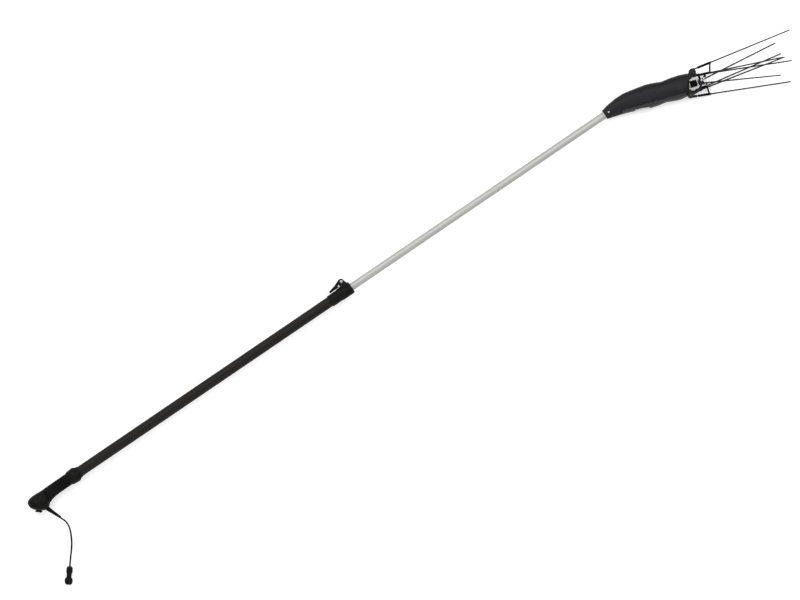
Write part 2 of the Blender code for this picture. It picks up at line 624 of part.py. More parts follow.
# ---- drive ------------------------------------------------------------------------------------------------
def bevel_gear(teeth, own_r, mate_r, phase, bore_r, hub_r, hub_face, back):
    """A straight bevel gear about local Z, with its pitch cones' shared tip at the origin."""
    cone = math.atan2(own_r, mate_r)
    far = math.hypot(own_r, mate_r)
    near = far * GEAR_NEAR_SHARE
    tip, root = cone + 0.0012 / far, cone - 0.0017 / far
    pitch = 2 * math.pi / teeth
    # a tooth is root, tip, tip, root at these shares of its pitch
    shares = ((-0.29, root), (-0.13, tip), (0.13, tip), (0.29, root))
    turns = [(pitch * (k + share) + phase, angle) for k in range(teeth) for share, angle in shares]
    bm = bmesh.new()

    def cone_ring(distance):
        ring = []
        for turn, lean in turns:
            radius, height = distance * math.sin(lean), distance * math.cos(lean)
            ring.append(bm.verts.new((radius * math.cos(turn), radius * math.sin(turn), height)))
        return ring

    def flat_ring(radius, z):
        return [bm.verts.new((radius * math.cos(t), radius * math.sin(t), z)) for t, _ in turns]

    back_r = far * math.sin(root) - 0.0012
    rings = [flat_ring(bore_r, hub_face), flat_ring(hub_r, hub_face), cone_ring(near), cone_ring(far)]
    rings += [flat_ring(back_r, back), flat_ring(bore_r, back)]
    skin(bm, rings, closed=True)
    return bm


def build_motor(head):
    """The motor with its end cap and mounting plate, and the rotor: its shaft and pinion."""
    along_u = (0, math.pi / 2, 0)
    rear = MOTOR_FRONT - MOTOR_LENGTH
    can = [(0, rear), (MOTOR_R - 0.001, rear), (MOTOR_R, rear + 0.001), (MOTOR_R, MOTOR_FRONT - 0.002)]
    nose_r, nose_floor = 0.0056, MOTOR_FRONT - 0.006
    can += [(MOTOR_R - 0.002, MOTOR_FRONT), (nose_r, MOTOR_FRONT), (nose_r, nose_floor), (0, nose_floor)]
    new_object("motor_can", lathe(can), "steel", head, rotation=along_u)
    cap = [(0, rear - 0.009), (0.010, rear - 0.009), (0.012, rear - 0.006), (MOTOR_R - 0.002, rear - 0.005)]
    cap += [(MOTOR_R - 0.001, rear - GAP), (0, rear - GAP)]
    new_object("motor_end_cap", lathe(cap, MEDIUM), "black_plastic", head, rotation=along_u)

    plate_front, plate_rear = MOTOR_FRONT + 0.004, MOTOR_FRONT + GAP
    offset, half_width, half_height = head_section(plate_rear)
    inset = SHELL_WALL + 0.0006
    rings = []
    for along in (plate_rear, plate_front):
        rings.append([(along, side, up) for side, up in oval(half_width - inset, half_height - inset, 3.0)])
    plate = new_object("motor_mount", loft(rings), "aluminium", head)
    trim = box((plate_rear - 0.01, -0.08, -0.05), (plate_front + 0.01, SEAM_V + GAP, 0.05))
    boolean(plate, trim, "DIFFERENCE", head)
    shaft_room = rod(0.0060, (plate_rear - 0.01, 0, 0), (plate_front + 0.01, 0, 0), ROUND)
    boolean(plate, shaft_room, "DIFFERENCE", head)

    rotor = empty("motor_axis", head, (0, 0, 0), along_u)
    shaft_r = MOTOR_SHAFT_R
    cone_far = math.hypot(GEAR_PITCH_R, PINION_PITCH_R)
    pinion_back = -GEAR_PITCH_R - 0.0030
    shaft = [(0, MOTOR_FRONT - 0.0055), (shaft_r, MOTOR_FRONT - 0.0055), (shaft_r, -0.0150), (0, -0.0150)]
    new_object("motor_shaft", lathe(shaft, SMALL), "steel", rotor)
    # the pinion's cone tip is at the crossing of the axes and its teeth lie behind it, so it is turned round
    half_gap = math.pi / PINION_TEETH
    hub_face = cone_far * GEAR_NEAR_SHARE * 0.93
    sizes = (half_gap, shaft_r + GAP, 0.0040, hub_face, -pinion_back)
    pinion = bevel_gear(PINION_TEETH, PINION_PITCH_R, GEAR_PITCH_R, *sizes)
    new_object("bevel_pinion", pinion, "steel", rotor, rotation=(math.pi, 0, 0))


def build_gearbox(head):
    """The bearing cup with its two bearings, and the crank: its shaft with the pin, and the large gear."""
    cup_r, cup_bore = BEARING_R + 0.0035, BEARING_R + GAP
    floor = -0.0305
    lowest = -HEAD_STATIONS[8][3] + SHELL_WALL + 2 * GAP
    inside = floor + 0.0009
    cup = [(0, lowest), (0.0060, lowest), (cup_r, floor + 0.0004), (cup_r, CUP_TOP), (cup_bore, CUP_TOP)]
    cup += [(cup_bore, inside), (0, inside)]
    new_object("bearing_cup", lathe(cup, MEDIUM), "aluminium", head)
    low = floor + 0.0012
    for name, bottom in (("lower_bearing", low), ("upper_bearing", low + BEARING_WIDTH - 0.0009)):
        width = BEARING_WIDTH - 0.0012
        bore, top = SHAFT_R + 0.0001, bottom + width
        ring = [(bore, bottom), (BEARING_R, bottom), (BEARING_R, top), (bore, top)]
        new_object(name, lathe(ring, MEDIUM), "steel", head)

    crank_axis = empty("crank_axis", head)
    disc_r, disc_bottom, disc_top = 0.0100, -GEAR_FACE + GAP, -0.0060
    shaft = [(0, low), (SHAFT_R, low), (SHAFT_R, disc_bottom)]
    shaft += [(disc_r, disc_bottom), (disc_r, disc_top), (0, disc_top)]
    crankshaft = new_object("crankshaft", lathe(shaft, MEDIUM), "steel", crank_axis)
    pin_top = ROD_PLANE - GAP
    crank_pin = rod(CRANK_PIN_R, (0, CRANK_R, disc_top - 0.001), (0, CRANK_R, pin_top))
    boolean(crankshaft, crank_pin, "UNION", crank_axis)
    sizes = (0.0, SHAFT_R + GAP, 0.0125, GEAR_FACE, GEAR_BACK)
    gear = bevel_gear(GEAR_TEETH, GEAR_PITCH_R, PINION_PITCH_R, *sizes)
    new_object("bevel_gear", gear, "steel", crank_axis, rotation=(math.pi, 0, 0))


def build_push_rod(head, nose_face):
    """Push rod, its wrist pin, the connecting rod, the crosshead with its pins, and the two links."""
    slide = empty("push_axis", head)
    along_u = (0, math.pi / 2, 0)
    rear, front = 0.026, 0.068
    round_rod = lathe([(0, rear), (PUSH_R, rear), (PUSH_R, front), (0, front)], MEDIUM)
    push = new_object("push_rod", round_rod, "steel", slide, rotation=along_u)
    tongue_low, tongue_high = ROD_PLANE + ROD_THICK + GAP, PUSH_R - 0.0002
    wrist = (ROD_LENGTH, 0)
    tongue = prism(capsule(wrist, (rear + 0.0005, 0), 0.0050, 0.0035), tongue_low, tongue_high)
    boolean(push, tongue, "UNION", slide)
    boolean(push, rod(PIN_R + GAP, (*wrist, -0.02), (*wrist, 0.02)), "DIFFERENCE", slide)
    pin_low, pin_head = ROD_PLANE - 0.0002, tongue_high + GAP
    pin = [(0, pin_low), (PIN_R, pin_low), (PIN_R, pin_head), (0.0036, pin_head)]
    pin += [(0.0036, tongue_high + 0.0018), (0, tongue_high + 0.0018)]
    new_object("wrist_pin", lathe(pin, SMALL), "steel", slide, (*wrist, 0))

    rod_axis = empty("connecting_rod_axis", slide, (*wrist, 0))
    big_end = (-ROD_LENGTH, CRANK_R)
    outline = capsule(big_end, (0, 0), 0.0062, 0.0050)
    flat_rod = prism(outline, ROD_PLANE, ROD_PLANE + ROD_THICK)
    connecting = new_object("connecting_rod", flat_rod, "steel", rod_axis)
    boolean(connecting, rod(CRANK_PIN_R + GAP, (*big_end, -0.02), (*big_end, 0.02)), "DIFFERENCE", rod_axis)
    boolean(connecting, rod(PIN_R + GAP, (0, 0, -0.02), (0, 0, 0.02)), "DIFFERENCE", rod_axis)

    cross_rear, cross_front, half_v, half_z = front + GAP, 0.0860, 0.0100, 0.0070
    block = box((cross_rear, -half_v, -half_z), (cross_front, half_v, half_z))
    cross = new_object("crosshead", block, "black_plastic", slide)
    boolean(cross, box((cross_rear + 0.0022, -0.03, -0.0054), (0.12, 0.03, 0.0054)), "DIFFERENCE", slide)
    for name, root, end, low, high in (
        ("link_upper", LINK_ROOT_UPPER, LINK_END_UPPER, GAP / 2, 0.0050),
        ("link_lower", LINK_ROOT_LOWER, LINK_END_LOWER, -0.0050, -GAP / 2),
    ):
        boolean(cross, rod(PIN_R + GAP, (*root, -0.02), (*root, 0.02)), "DIFFERENCE", slide)
        axis = empty(name + "_axis", slide, (*root, 0))
        reach = (end[0] - root[0], end[1] - root[1])
        link = new_object(name, prism(capsule((0, 0), reach, 0.0040, 0.0046), low, high), "steel", axis)
        boolean(link, rod(PIN_R + GAP, (0, 0, -0.02), (0, 0, 0.02)), "DIFFERENCE", axis)
        boolean(link, rod(DRIVE_POST_R + LINK_PLAY, (*reach, -0.02), (*reach, 0.02)), "DIFFERENCE", axis)
        pin_low, pin_head = -half_z - 0.0006, half_z + GAP
        pin = [(0, pin_low), (PIN_R, pin_low), (PIN_R, pin_head), (0.0034, pin_head)]
        pin += [(0.0034, half_z + 0.0013), (0, half_z + 0.0013)]
        new_object(name.replace("link", "crosshead_pin"), lathe(pin, SMALL), "steel", slide, (*root, 0))

    bush_rear = nose_face - 0.0025
    rim_rear, rim_front, rim_r = nose_face + GAP, nose_face + 0.0030, 0.0105
    bush = [(PUSH_R + GAP, bush_rear), (BUSH_R, bush_rear), (BUSH_R, rim_rear), (rim_r, rim_rear)]
    bush += [(rim_r, rim_front), (PUSH_R + GAP, rim_front)]
    new_object("push_rod_bush", lathe(bush, MEDIUM), "nylon", head, rotation=along_u)

    start, stop, folds = nose_face + 0.0033, front - CRANK_R - 0.0006, 5
    outer, inner = [], []
    for k in range(2 * folds + 1):
        z = start + (stop - start) * k / (2 * folds)
        r = 0.0130 if k % 2 else 0.0098
        outer.append((r, z))
        inner.append((r - 0.0022, z))
    new_object("bellows", lathe(outer + inner[::-1], MEDIUM), "rubber", head, rotation=along_u)


def build_nose(head):
    """The gearbox nose that closes the front of the shell and carries the rakes' pivots in its ears."""
    along, offset, half_width, half_height, turn, roundness = HEAD_STATIONS[-1]
    gap = 0.0004
    rings = []
    for step, narrower, lower in ((gap, 0, 0), (0.006, 0.002, 0.002), (0.0110, 0.012, 0.009)):
        place = (along + step, offset, half_width - narrower, half_height - lower, turn, roundness)
        rings.append(station_ring(place, segments=ROUND))
    nose = new_object("gearbox_nose", loft(rings), "black_plastic", head)
    # each pivot has an ear above and one below its hub
    for pivot, root, below, above in (
        (PIVOT_UPPER, (0.0440, 0.0250), -EAR_FAR, EAR_NEAR),
        (PIVOT_LOWER, (0.0310, -0.0220), -EAR_NEAR, EAR_FAR),
    ):
        for low, high in ((below - EAR_THICK, below), (above, above + EAR_THICK)):
            boolean(nose, prism(capsule(root, pivot, EAR_R, EAR_R), low, high), "UNION", head)
        hub_room = rod(HUB_R + 0.0010, (*pivot, below), (*pivot, above), ROUND)
        boolean(nose, hub_room, "DIFFERENCE", head)
        boolean(nose, rod(PIVOT_R + GAP, (*pivot, -0.05), (*pivot, 0.05), MEDIUM), "DIFFERENCE", head)
    boolean(nose, rod(BUSH_R + GAP, (0, 0, 0), (0.08, 0, 0), ROUND), "DIFFERENCE", head)
    flat = box((NOSE_FACE, -0.0145, -0.0145), (0.08, 0.0145, 0.0145))
    boolean(nose, flat, "DIFFERENCE", head)


# ---- rakes ------------------------------------------------------------------------------------------------
def tine_line(name):
    (u0, v0), (u1, v1), z0, z1 = TINES[name]
    root, tip = Vector((u0, v0, z0)), Vector((u1, v1, z1))
    return root, tip, (tip - root).normalized()


def build_rake(head, side, pivot, arms):
    """One rake: its carrier with four sockets, its pivot pin and its four tines, turning on the pivot."""
    sign = 1 if side == "upper" else -1
    axis = empty(f"rake_{side}_axis", head, (*pivot, 0))
    shift = Vector((*pivot, 0))
    low, high = sorted((sign * (EAR_NEAR - GAP), -sign * (EAR_FAR - GAP)))
    hub = lathe([(0, low), (HUB_R, low), (HUB_R, high), (0, high)])
    carrier = new_object(f"rake_carrier_{side}", hub, "black_plastic", axis)
    for name, way in arms.items():
        root, tip, heading = tine_line(name)
        level = root.z
        for (x0, y0), (x1, y1) in zip(way, way[1:]):
            start, end = (x0 - shift.x, y0 - shift.y), (x1 - shift.x, y1 - shift.y)
            arm = prism(capsule(start, end, ARM_R, ARM_R, 4), level - ARM_HALF, level + ARM_HALF)
            boolean(carrier, arm, "UNION", axis, "MANIFOLD")
        mouth = root + heading * 0.004 - shift
        boolean(carrier, rod(SOCKET_R, mouth - heading * SOCKET_LENGTH, mouth), "UNION", axis, "MANIFOLD")
    for name in arms:
        root, tip, heading = tine_line(name)
        mouth = root + heading * 0.004 - shift
        seat = mouth - heading * (SOCKET_LENGTH - SOCKET_FLOOR)
        boolean(carrier, rod(TINE_R + GAP, seat, mouth + heading * 0.01), "DIFFERENCE", axis, "MANIFOLD")
        begin = seat + shift
        length = (tip - begin).length
        tine = [(0, GAP), (TINE_R, GAP), (TINE_R * 0.9, length - 0.004), (TINE_R * 0.45, length), (0, length)]
        turn = heading.to_track_quat("Z", "Y").to_euler()
        new_object(name, lathe(tine, 8), "carbon", axis, begin - shift, turn)
    boolean(carrier, rod(PIVOT_R + GAP, (0, 0, -0.05), (0, 0, 0.05), MEDIUM), "DIFFERENCE", axis, "MANIFOLD")

    cap_r = 0.0125 if side == "upper" else 0.0065
    top = (EAR_NEAR if side == "upper" else EAR_FAR) + EAR_THICK + GAP
    bottom = -((EAR_FAR if side == "upper" else EAR_NEAR) + EAR_THICK) - 0.0015
    pin = [(0, bottom), (PIVOT_R, bottom), (PIVOT_R, top), (cap_r, top), (cap_r, top + 0.0020)]
    pin += [(cap_r * 0.7, top + 0.0034), (0, top + 0.0038)]
    new_object(f"pivot_pin_{side}", lathe(pin, MEDIUM), "black_plastic", head, (*pivot, 0))
    return axis, shift


def build_bridge(axis, shift, side, outer, inner, outer_span, inner_span, post):
    """The rubber bridge of one rake: a sleeve on each visible tine, a web between them and the drive lug."""
    sign = 1 if side == "upper" else -1
    outer_root, _, outer_way = tine_line(outer)
    inner_root, _, inner_way = tine_line(inner)

    def at(root, way, along):
        return root + way * ((along - root.x) / way.x) - shift

    start, end = at(inner_root, inner_way, inner_span[0]), at(inner_root, inner_way, inner_span[1])
    bridge = new_object(f"rake_bridge_{side}", rod(SLEEVE_R, start, end), "rubber", axis)
    other_start = at(outer_root, outer_way, outer_span[0])
    other_end = at(outer_root, outer_way, outer_span[1])
    boolean(bridge, rod(SLEEVE_R, other_start, other_end), "UNION", axis, "MANIFOLD")
    web_start, web_end = end - inner_way * 0.0042, other_end - outer_way * 0.0042
    level = (web_start.z + web_end.z) / 2
    web = prism(capsule(web_start.xy, web_end.xy, 0.0026, 0.0026, 6), level - 0.0028, level + 0.0028)
    boolean(bridge, web, "UNION", axis, "MANIFOLD")
    lug_at = Vector((post[0], post[1], 0)) - shift
    on_sleeve = at(inner_root, inner_way, post[0])
    near, far = sorted((on_sleeve.z - sign * 0.0030, on_sleeve.z + sign * 0.0010))
    lug = prism(capsule(on_sleeve.xy, lug_at.xy, ARM_R, ARM_R, 6), near, far)
    boolean(bridge, lug, "UNION", axis, "MANIFOLD")
    low, high = sorted((on_sleeve.z, sign * GAP))
    post_rod = rod(DRIVE_POST_R, (*lug_at.xy, low), (*lug_at.xy, high))
    boolean(bridge, post_rod, "UNION", axis, "MANIFOLD")
    for first, last, way in ((start, end, inner_way), (other_start, other_end, outer_way)):
        bore = rod(TINE_R + GAP, first - way * 0.01, last + way * 0.01)
        boolean(bridge, bore, "DIFFERENCE", axis, "MANIFOLD")


def build_rakes(head):
    upper_arms = {
        "tine_upper_outer": (PIVOT_UPPER, (0.0585, 0.0445)),
        "tine_upper_inner": (PIVOT_UPPER, (0.0580, 0.0238)),
        "tine_upper_cross": (PIVOT_UPPER, (0.0630, 0.0250)),
        "tine_upper_centre": (PIVOT_UPPER, (0.0760, 0.0220), (0.0780, 0.0040)),
    }
    axis, shift = build_rake(head, "upper", PIVOT_UPPER, upper_arms)
    spans = (0.078, 0.125), (0.070, 0.116)
    build_bridge(axis, shift, "upper", "tine_upper_outer", "tine_upper_inner", *spans, LINK_END_UPPER)
    lower_arms = {
        "tine_lower_outer": (PIVOT_LOWER, (0.0440, -0.0404)),
        "tine_lower_inner": (PIVOT_LOWER, (0.0420, -0.0246)),
        "tine_lower_cross": (PIVOT_LOWER, (0.0660, -0.0259)),
        "tine_lower_centre": (PIVOT_LOWER, (0.0620, -0.0260), (0.0780, -0.0070)),
    }
    axis, shift = build_rake(head, "lower", PIVOT_LOWER, lower_arms)
    spans = (0.057, 0.099), (0.054, 0.098)
    build_bridge(axis, shift, "lower", "tine_lower_outer", "tine_lower_inner", *spans, LINK_END_LOWER)


# ---- wiring -----------------------------------------------------------------------------------------------
def build_wiring(head, socket):
    """The control board in the head's rear, and the straight lead from the tube's tail to the board."""
    rear, front = -0.188, -0.142
    offset, half_width, _ = head_section(rear)
    edge = half_width - SHELL_WALL + GAP
    top = offset + edge
    bottom = max(offset - edge, SEAM_V + 0.001)
    new_object("control_board", box((rear, bottom, -0.0008), (front, top, 0.0008)), "board", head)

    pole_way = Vector((math.cos(HEAD_BEND), math.sin(HEAD_BEND), 0))
    tail = UPPER_TAIL - 0.018
    lead = rod(LEAD_R, socket + pole_way * tail, socket + pole_way * (SOCKET_DEPTH + 0.012), 8)
    new_object("motor_lead", lead, "copper_lead", head)


def main():
    for obj in list(bpy.data.objects):
        bpy.data.objects.remove(obj)
    head = empty("head_frame", None, (0, 0, AXIS_HEIGHT), (0, 0, -HEAD_BEND))
    turn = Matrix.Rotation(-HEAD_BEND, 3, "Z")
    socket = turn @ Vector((-SOCKET_BACK, SOCKET_OFFSET, 0))
    pole = empty("pole_frame", None, (socket.x, socket.y, AXIS_HEIGHT), (0, math.pi / 2, 0))
    build_pole(pole)
    build_clamp(pole)
    build_handle(pole)
    build_head_shell(head, pole)
    build_motor(head)
    build_gearbox(head)
    build_push_rod(head, NOSE_FACE)
    build_nose(head)
    build_rakes(head)
    build_wiring(head, Vector((-SOCKET_BACK, SOCKET_OFFSET, 0)))


main()
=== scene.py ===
"""Looks of a telescopic electric olive harvester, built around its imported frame."""

import json
import math

import bmesh
import bpy
from mathutils import Matrix, Vector


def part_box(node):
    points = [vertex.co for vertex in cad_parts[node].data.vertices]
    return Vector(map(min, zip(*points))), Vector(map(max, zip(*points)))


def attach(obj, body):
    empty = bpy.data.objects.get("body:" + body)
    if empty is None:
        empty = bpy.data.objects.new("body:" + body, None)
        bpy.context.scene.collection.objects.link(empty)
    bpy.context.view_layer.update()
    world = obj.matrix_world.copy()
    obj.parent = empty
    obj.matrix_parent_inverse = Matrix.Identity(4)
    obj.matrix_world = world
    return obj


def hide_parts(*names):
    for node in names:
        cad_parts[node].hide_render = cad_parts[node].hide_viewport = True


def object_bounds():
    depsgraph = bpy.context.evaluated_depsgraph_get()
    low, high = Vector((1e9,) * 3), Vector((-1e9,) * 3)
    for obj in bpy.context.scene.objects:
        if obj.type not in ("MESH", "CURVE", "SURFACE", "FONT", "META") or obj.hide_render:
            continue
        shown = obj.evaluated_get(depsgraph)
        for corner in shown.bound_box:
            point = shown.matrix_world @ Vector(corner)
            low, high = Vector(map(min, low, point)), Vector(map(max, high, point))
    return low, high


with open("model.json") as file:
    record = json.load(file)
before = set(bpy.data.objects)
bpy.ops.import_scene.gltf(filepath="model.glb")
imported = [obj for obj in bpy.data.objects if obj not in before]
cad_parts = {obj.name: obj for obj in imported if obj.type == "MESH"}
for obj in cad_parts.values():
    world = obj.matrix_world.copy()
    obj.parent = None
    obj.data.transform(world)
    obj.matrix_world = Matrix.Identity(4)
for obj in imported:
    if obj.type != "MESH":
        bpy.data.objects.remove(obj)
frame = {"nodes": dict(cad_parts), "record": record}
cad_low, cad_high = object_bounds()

bl_info = {
    "name": "Olive Harvester",
    "version": (1, 0, 0),
    "blender": (4, 5, 0),
    "location": "View3D > Sidebar > Harvester",
    "description": "Models the visible pieces of a telescopic olive harvester around its frame",
    "category": "Object",
}

MM = 0.001
POLE = Vector(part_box("lower_tube")[0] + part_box("lower_tube")[1]) / 2
POLE_Y, POLE_Z = POLE.y, POLE.z

# The cord's route over the floor, from the strain relief to the connector, in metres.
CORD_ROUTE = (
    (-2.4840, -0.0275, 0.0290),
    (-2.4800, -0.0370, 0.0262),
    (-2.4775, -0.0450, 0.0225),
    (-2.4768, -0.0535, 0.0175),
    (-2.4778, -0.0625, 0.0120),
    (-2.4800, -0.0715, 0.0075),
    (-2.4830, -0.0800, 0.0045),
    (-2.4868, -0.0890, 0.0032),
    (-2.4915, -0.0985, 0.0030),
    (-2.4970, -0.1085, 0.0030),
    (-2.5030, -0.1180, 0.0030),
    (-2.5095, -0.1270, 0.0034),
    (-2.5165, -0.1360, 0.0044),
    (-2.5240, -0.1450, 0.0064),
    (-2.5315, -0.1540, 0.0092),
    (-2.5385, -0.1627, 0.0118),
    (-2.5445, -0.1702, 0.0131),
    (-2.5498, -0.1768, 0.0134),
)
CONNECTOR_WAY = Vector((-0.627, -0.779, 0.0)).normalized()

# The ribbed part of the grip sleeve: its radius, and the plain stretches behind and in front of it.
GRIP_R = 20.1 * MM
PLAIN_REAR = 40 * MM
PLAIN_FRONT = 6 * MM

# The camera: the width of floor it sees, its turn about Z, the place it looks at, and its lens in mm.
VIEW_WIDTH = 2.64
VIEW_TURN = math.radians(-34.2)
VIEW_CENTRE = (-1.1531, -0.0625)
LENS = 250

# The way the seam between the head's main shell and its nose faces.
SEAM_ANGLE = math.radians(-34.6)
SEAM_WAY = Vector((math.cos(SEAM_ANGLE), math.sin(SEAM_ANGLE), 0))


# ---- settings ---------------------------------------------------------------------------------------------
class HarvesterSizes(bpy.types.PropertyGroup):
    """Sizes of the fine detail that the frame doesn't hold."""

    edge: bpy.props.FloatProperty(
        name="Edge", description="Width of the rounding on moulded edges", default=0.0005, unit="LENGTH"
    )
    grip_ribs: bpy.props.IntProperty(
        name="Grip ribs", description="Ribs moulded round the grip sleeve", default=14, min=2
    )
    rib_depth: bpy.props.FloatProperty(
        name="Rib depth", description="Depth of the grooves in rubber pieces", default=0.0007, unit="LENGTH"
    )
    cord_diameter: bpy.props.FloatProperty(
        name="Cord", description="Outer diameter of the cord", default=0.0056, unit="LENGTH"
    )


class HarvesterColours(bpy.types.PropertyGroup):
    """Colours as sRGB hex values."""

    shell: bpy.props.StringProperty(name="Shell", description="Moulded nylon of the head", default="121215")
    cover: bpy.props.StringProperty(name="Cover", description="Nylon of the side cover", default="2C2C2F")
    handle: bpy.props.StringProperty(name="Handle", description="Moulded handle pieces", default="0A0908")
    tube: bpy.props.StringProperty(name="Tube", description="Coating of the lower tube", default="14110F")
    rubber: bpy.props.StringProperty(name="Rubber", description="Rubber pieces", default="0B0A0A")
    metal: bpy.props.StringProperty(name="Aluminium", description="Anodised upper tube", default="B0B0AD")
    label: bpy.props.StringProperty(name="Label", description="Bare sticker", default="C9C9C6")


def sizes():
    return bpy.context.scene.harvester_sizes


def colours():
    return bpy.context.scene.harvester_colours


# ---- materials --------------------------------------------------------------------------------------------
def linear(code):
    """An sRGB hex code as a linear colour."""
    parts = [int(code[i : i + 2], 16) / 255 for i in (0, 2, 4)]
    return (*[c / 12.92 if c <= 0.04045 else ((c + 0.055) / 1.055) ** 2.4 for c in parts], 1.0)


def add_node(tree, kind, values=None, links=None, **settings):
    """Adds one node with its settings, socket values and incoming links."""
    node = tree.nodes.new(kind)
    for name, value in settings.items():
        setattr(node, name, value)
    for socket, value in (values or {}).items():
        node.inputs[socket].default_value = value
    for socket, source in (links or {}).items():
        tree.links.new(source, node.inputs[socket])
    return node


def surface(
    name, code, roughness, grain_mm, bump, stretch=(1, 1, 1), spread=0.06, metallic=0.0, specular=0.5
):
    """A material with a grain of a real size, and a slow drift of its colour and roughness."""
    made = bpy.data.materials.get(name)
    if made:
        return made
    made = bpy.data.materials.new(name)
    made.use_nodes = True
    tree = made.node_tree
    shader = tree.nodes["Principled BSDF"]
    place = add_node(tree, "ShaderNodeTexCoord")
    mapped = add_node(tree, "ShaderNodeMapping", {"Scale": stretch}, {"Vector": place.outputs["Object"]})
    grain = add_node(
        tree,
        "ShaderNodeTexNoise",
        {"Scale": 1 / (grain_mm * MM), "Detail": 4.0, "Roughness": 0.6},
        {"Vector": mapped.outputs["Vector"]},
    )
    drift = {"Scale": 18.0, "Detail": 3.0}
    handled = add_node(tree, "ShaderNodeTexNoise", drift, {"Vector": place.outputs["Object"]})
    base = Vector(linear(code)[:3])
    darker = (*(base * (1 - 2 * spread)), 1.0)
    lighter = (*(base * (1 + 2 * spread)), 1.0)
    tone = add_node(
        tree, "ShaderNodeMix", {6: darker, 7: lighter}, {0: handled.outputs["Fac"]}, data_type="RGBA"
    )
    tree.links.new(tone.outputs[2], shader.inputs["Base Color"])
    rough = add_node(
        tree,
        "ShaderNodeMapRange",
        {"To Min": max(roughness - 0.09, 0.05), "To Max": min(roughness + 0.09, 1.0)},
        {"Value": handled.outputs["Fac"]},
    )
    tree.links.new(rough.outputs["Result"], shader.inputs["Roughness"])
    relief = add_node(
        tree, "ShaderNodeBump", {"Strength": bump, "Distance": 0.0002}, {"Height": grain.outputs["Fac"]}
    )
    tree.links.new(relief.outputs["Normal"], shader.inputs["Normal"])
    shader.inputs["Metallic"].default_value = metallic
    shader.inputs["Specular IOR Level"].default_value = specular
    return made


def finish_of(name):
    """The named finish, made on first use."""
    tint = colours()
    if name == "spark_eroded_nylon":  # glass-filled nylon from an etched mould: fine grain, soft sheen
        return surface(name, tint.shell, 0.46, 0.8, 0.35, specular=0.2)
    if name == "grey_nylon":  # the same moulding, in a lighter grey
        return surface(name, tint.cover, 0.42, 0.8, 0.3, specular=0.3)
    if name == "handle_nylon":  # warmer black, a little polished by hands
        return surface(name, tint.handle, 0.5, 0.7, 0.3, specular=0.12)
    if name == "powder_coated_steel":  # orange-peel coating, drawn 2 mm wide so that it shows
        return surface(name, tint.tube, 0.48, 2.0, 0.25, specular=0.18)
    if name == "moulded_rubber":  # dull and even, scatters light
        return surface(name, tint.rubber, 0.78, 0.9, 0.4, specular=0.12)
    if name == "anodised_aluminium":  # satin, with draw lines along the tube
        return surface(name, tint.metal, 0.55, 0.9, 0.15, stretch=(0.02, 1, 1), spread=0.03, metallic=0.7)
    if name == "zinc_plated_steel":  # bright and slightly cloudy
        return surface(name, "A9A9AB", 0.3, 1.2, 0.08, metallic=1.0)
    if name == "pultruded_carbon":  # long fibres under a thin resin gloss
        return surface(name, "151516", 0.34, 0.5, 0.2, stretch=(0.05, 1, 1), specular=0.3)
    if name == "natural_nylon":  # slightly translucent ivory
        return surface(name, "D9D4C6", 0.5, 0.9, 0.15)
    if name == "solder_resist_board":  # green lacquer over copper
        return surface(name, "1E5C38", 0.35, 1.0, 0.1)
    return surface("bare_sticker", tint.label, 0.45, 1.0, 0.05)


FINISHES = {
    "spark_eroded_nylon": ["main_shell", "gearbox_nose", "motor_end_cap", "crosshead", "pivot_pin_upper"],
    "grey_nylon": ["side_cover", "pivot_pin_lower"],
    "handle_nylon": ["pommel_front_shell", "pommel_rear_shell", "hand_stop", "switch_bezel", "switch_rocker"],
    "powder_coated_steel": ["lower_tube"],
    "moulded_rubber": ["grip_sleeve", "strain_relief", "power_cord", "bellows", "coiled_lead", "motor_lead"],
    "anodised_aluminium": ["upper_tube", "bearing_cup", "motor_mount"],
    "zinc_plated_steel": ["clamp_pin", "clamp_screw", "socket_screw", "motor_can", "lower_bearing"],
    "natural_nylon": ["tail_bush", "guide_bush", "push_rod_bush"],
    "solder_resist_board": ["control_board"],
    "bare_sticker": ["blank_label"],
}
FINISHES["handle_nylon"] += ["clamp_collar", "clamp_lever", "connector_body", "connector_cap"]
FINISHES["spark_eroded_nylon"] += ["rake_carrier_upper", "rake_carrier_lower"]
FINISHES["moulded_rubber"] += ["rake_bridge_upper", "rake_bridge_lower"]
FINISHES["zinc_plated_steel"] += ["upper_bearing", "motor_shaft", "bevel_pinion", "crankshaft", "bevel_gear"]
FINISHES["zinc_plated_steel"] += ["push_rod", "wrist_pin", "connecting_rod", "link_upper", "link_lower"]
FINISHES["zinc_plated_steel"] += ["crosshead_pin_upper", "crosshead_pin_lower"]
FINISHES["pultruded_carbon"] = [name for name in frame["nodes"] if name.startswith("tine_")]
FINISH_NAMES = {node: finish for finish, nodes in FINISHES.items() for node in nodes}
BODY_OF = {n: b for b, nodes in frame["record"]["behaviour"]["bodies"].items() for n in nodes}


# ---- modelling helpers ------------------------------------------------------------------------------------
def deselect():
    if bpy.context.mode != "OBJECT":
        bpy.ops.object.mode_set(mode="OBJECT")
    bpy.ops.object.select_all(action="DESELECT")


def only(obj):
    """Makes the object the only selected one, and active."""
    deselect()
    obj.select_set(True)
    bpy.context.view_layer.objects.active = obj


def apply_modifiers(obj):
    only(obj)
    for modifier in list(obj.modifiers):
        bpy.ops.object.modifier_apply(modifier=modifier.name)


def hand_over(obj, name, node, smooth_angle=38):
    """Names a finished piece, gives it the node's finish and body, and lets it stand for the node."""
    obj.name = name
    obj.data.name = name
    obj.data.materials.clear()
    obj.data.materials.append(finish_of(FINISH_NAMES[node]))
    only(obj)
    bpy.ops.object.transform_apply(location=True, rotation=True, scale=True)
    bpy.ops.object.shade_smooth_by_angle(angle=math.radians(smooth_angle))
    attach(obj, BODY_OF[node])
    return obj


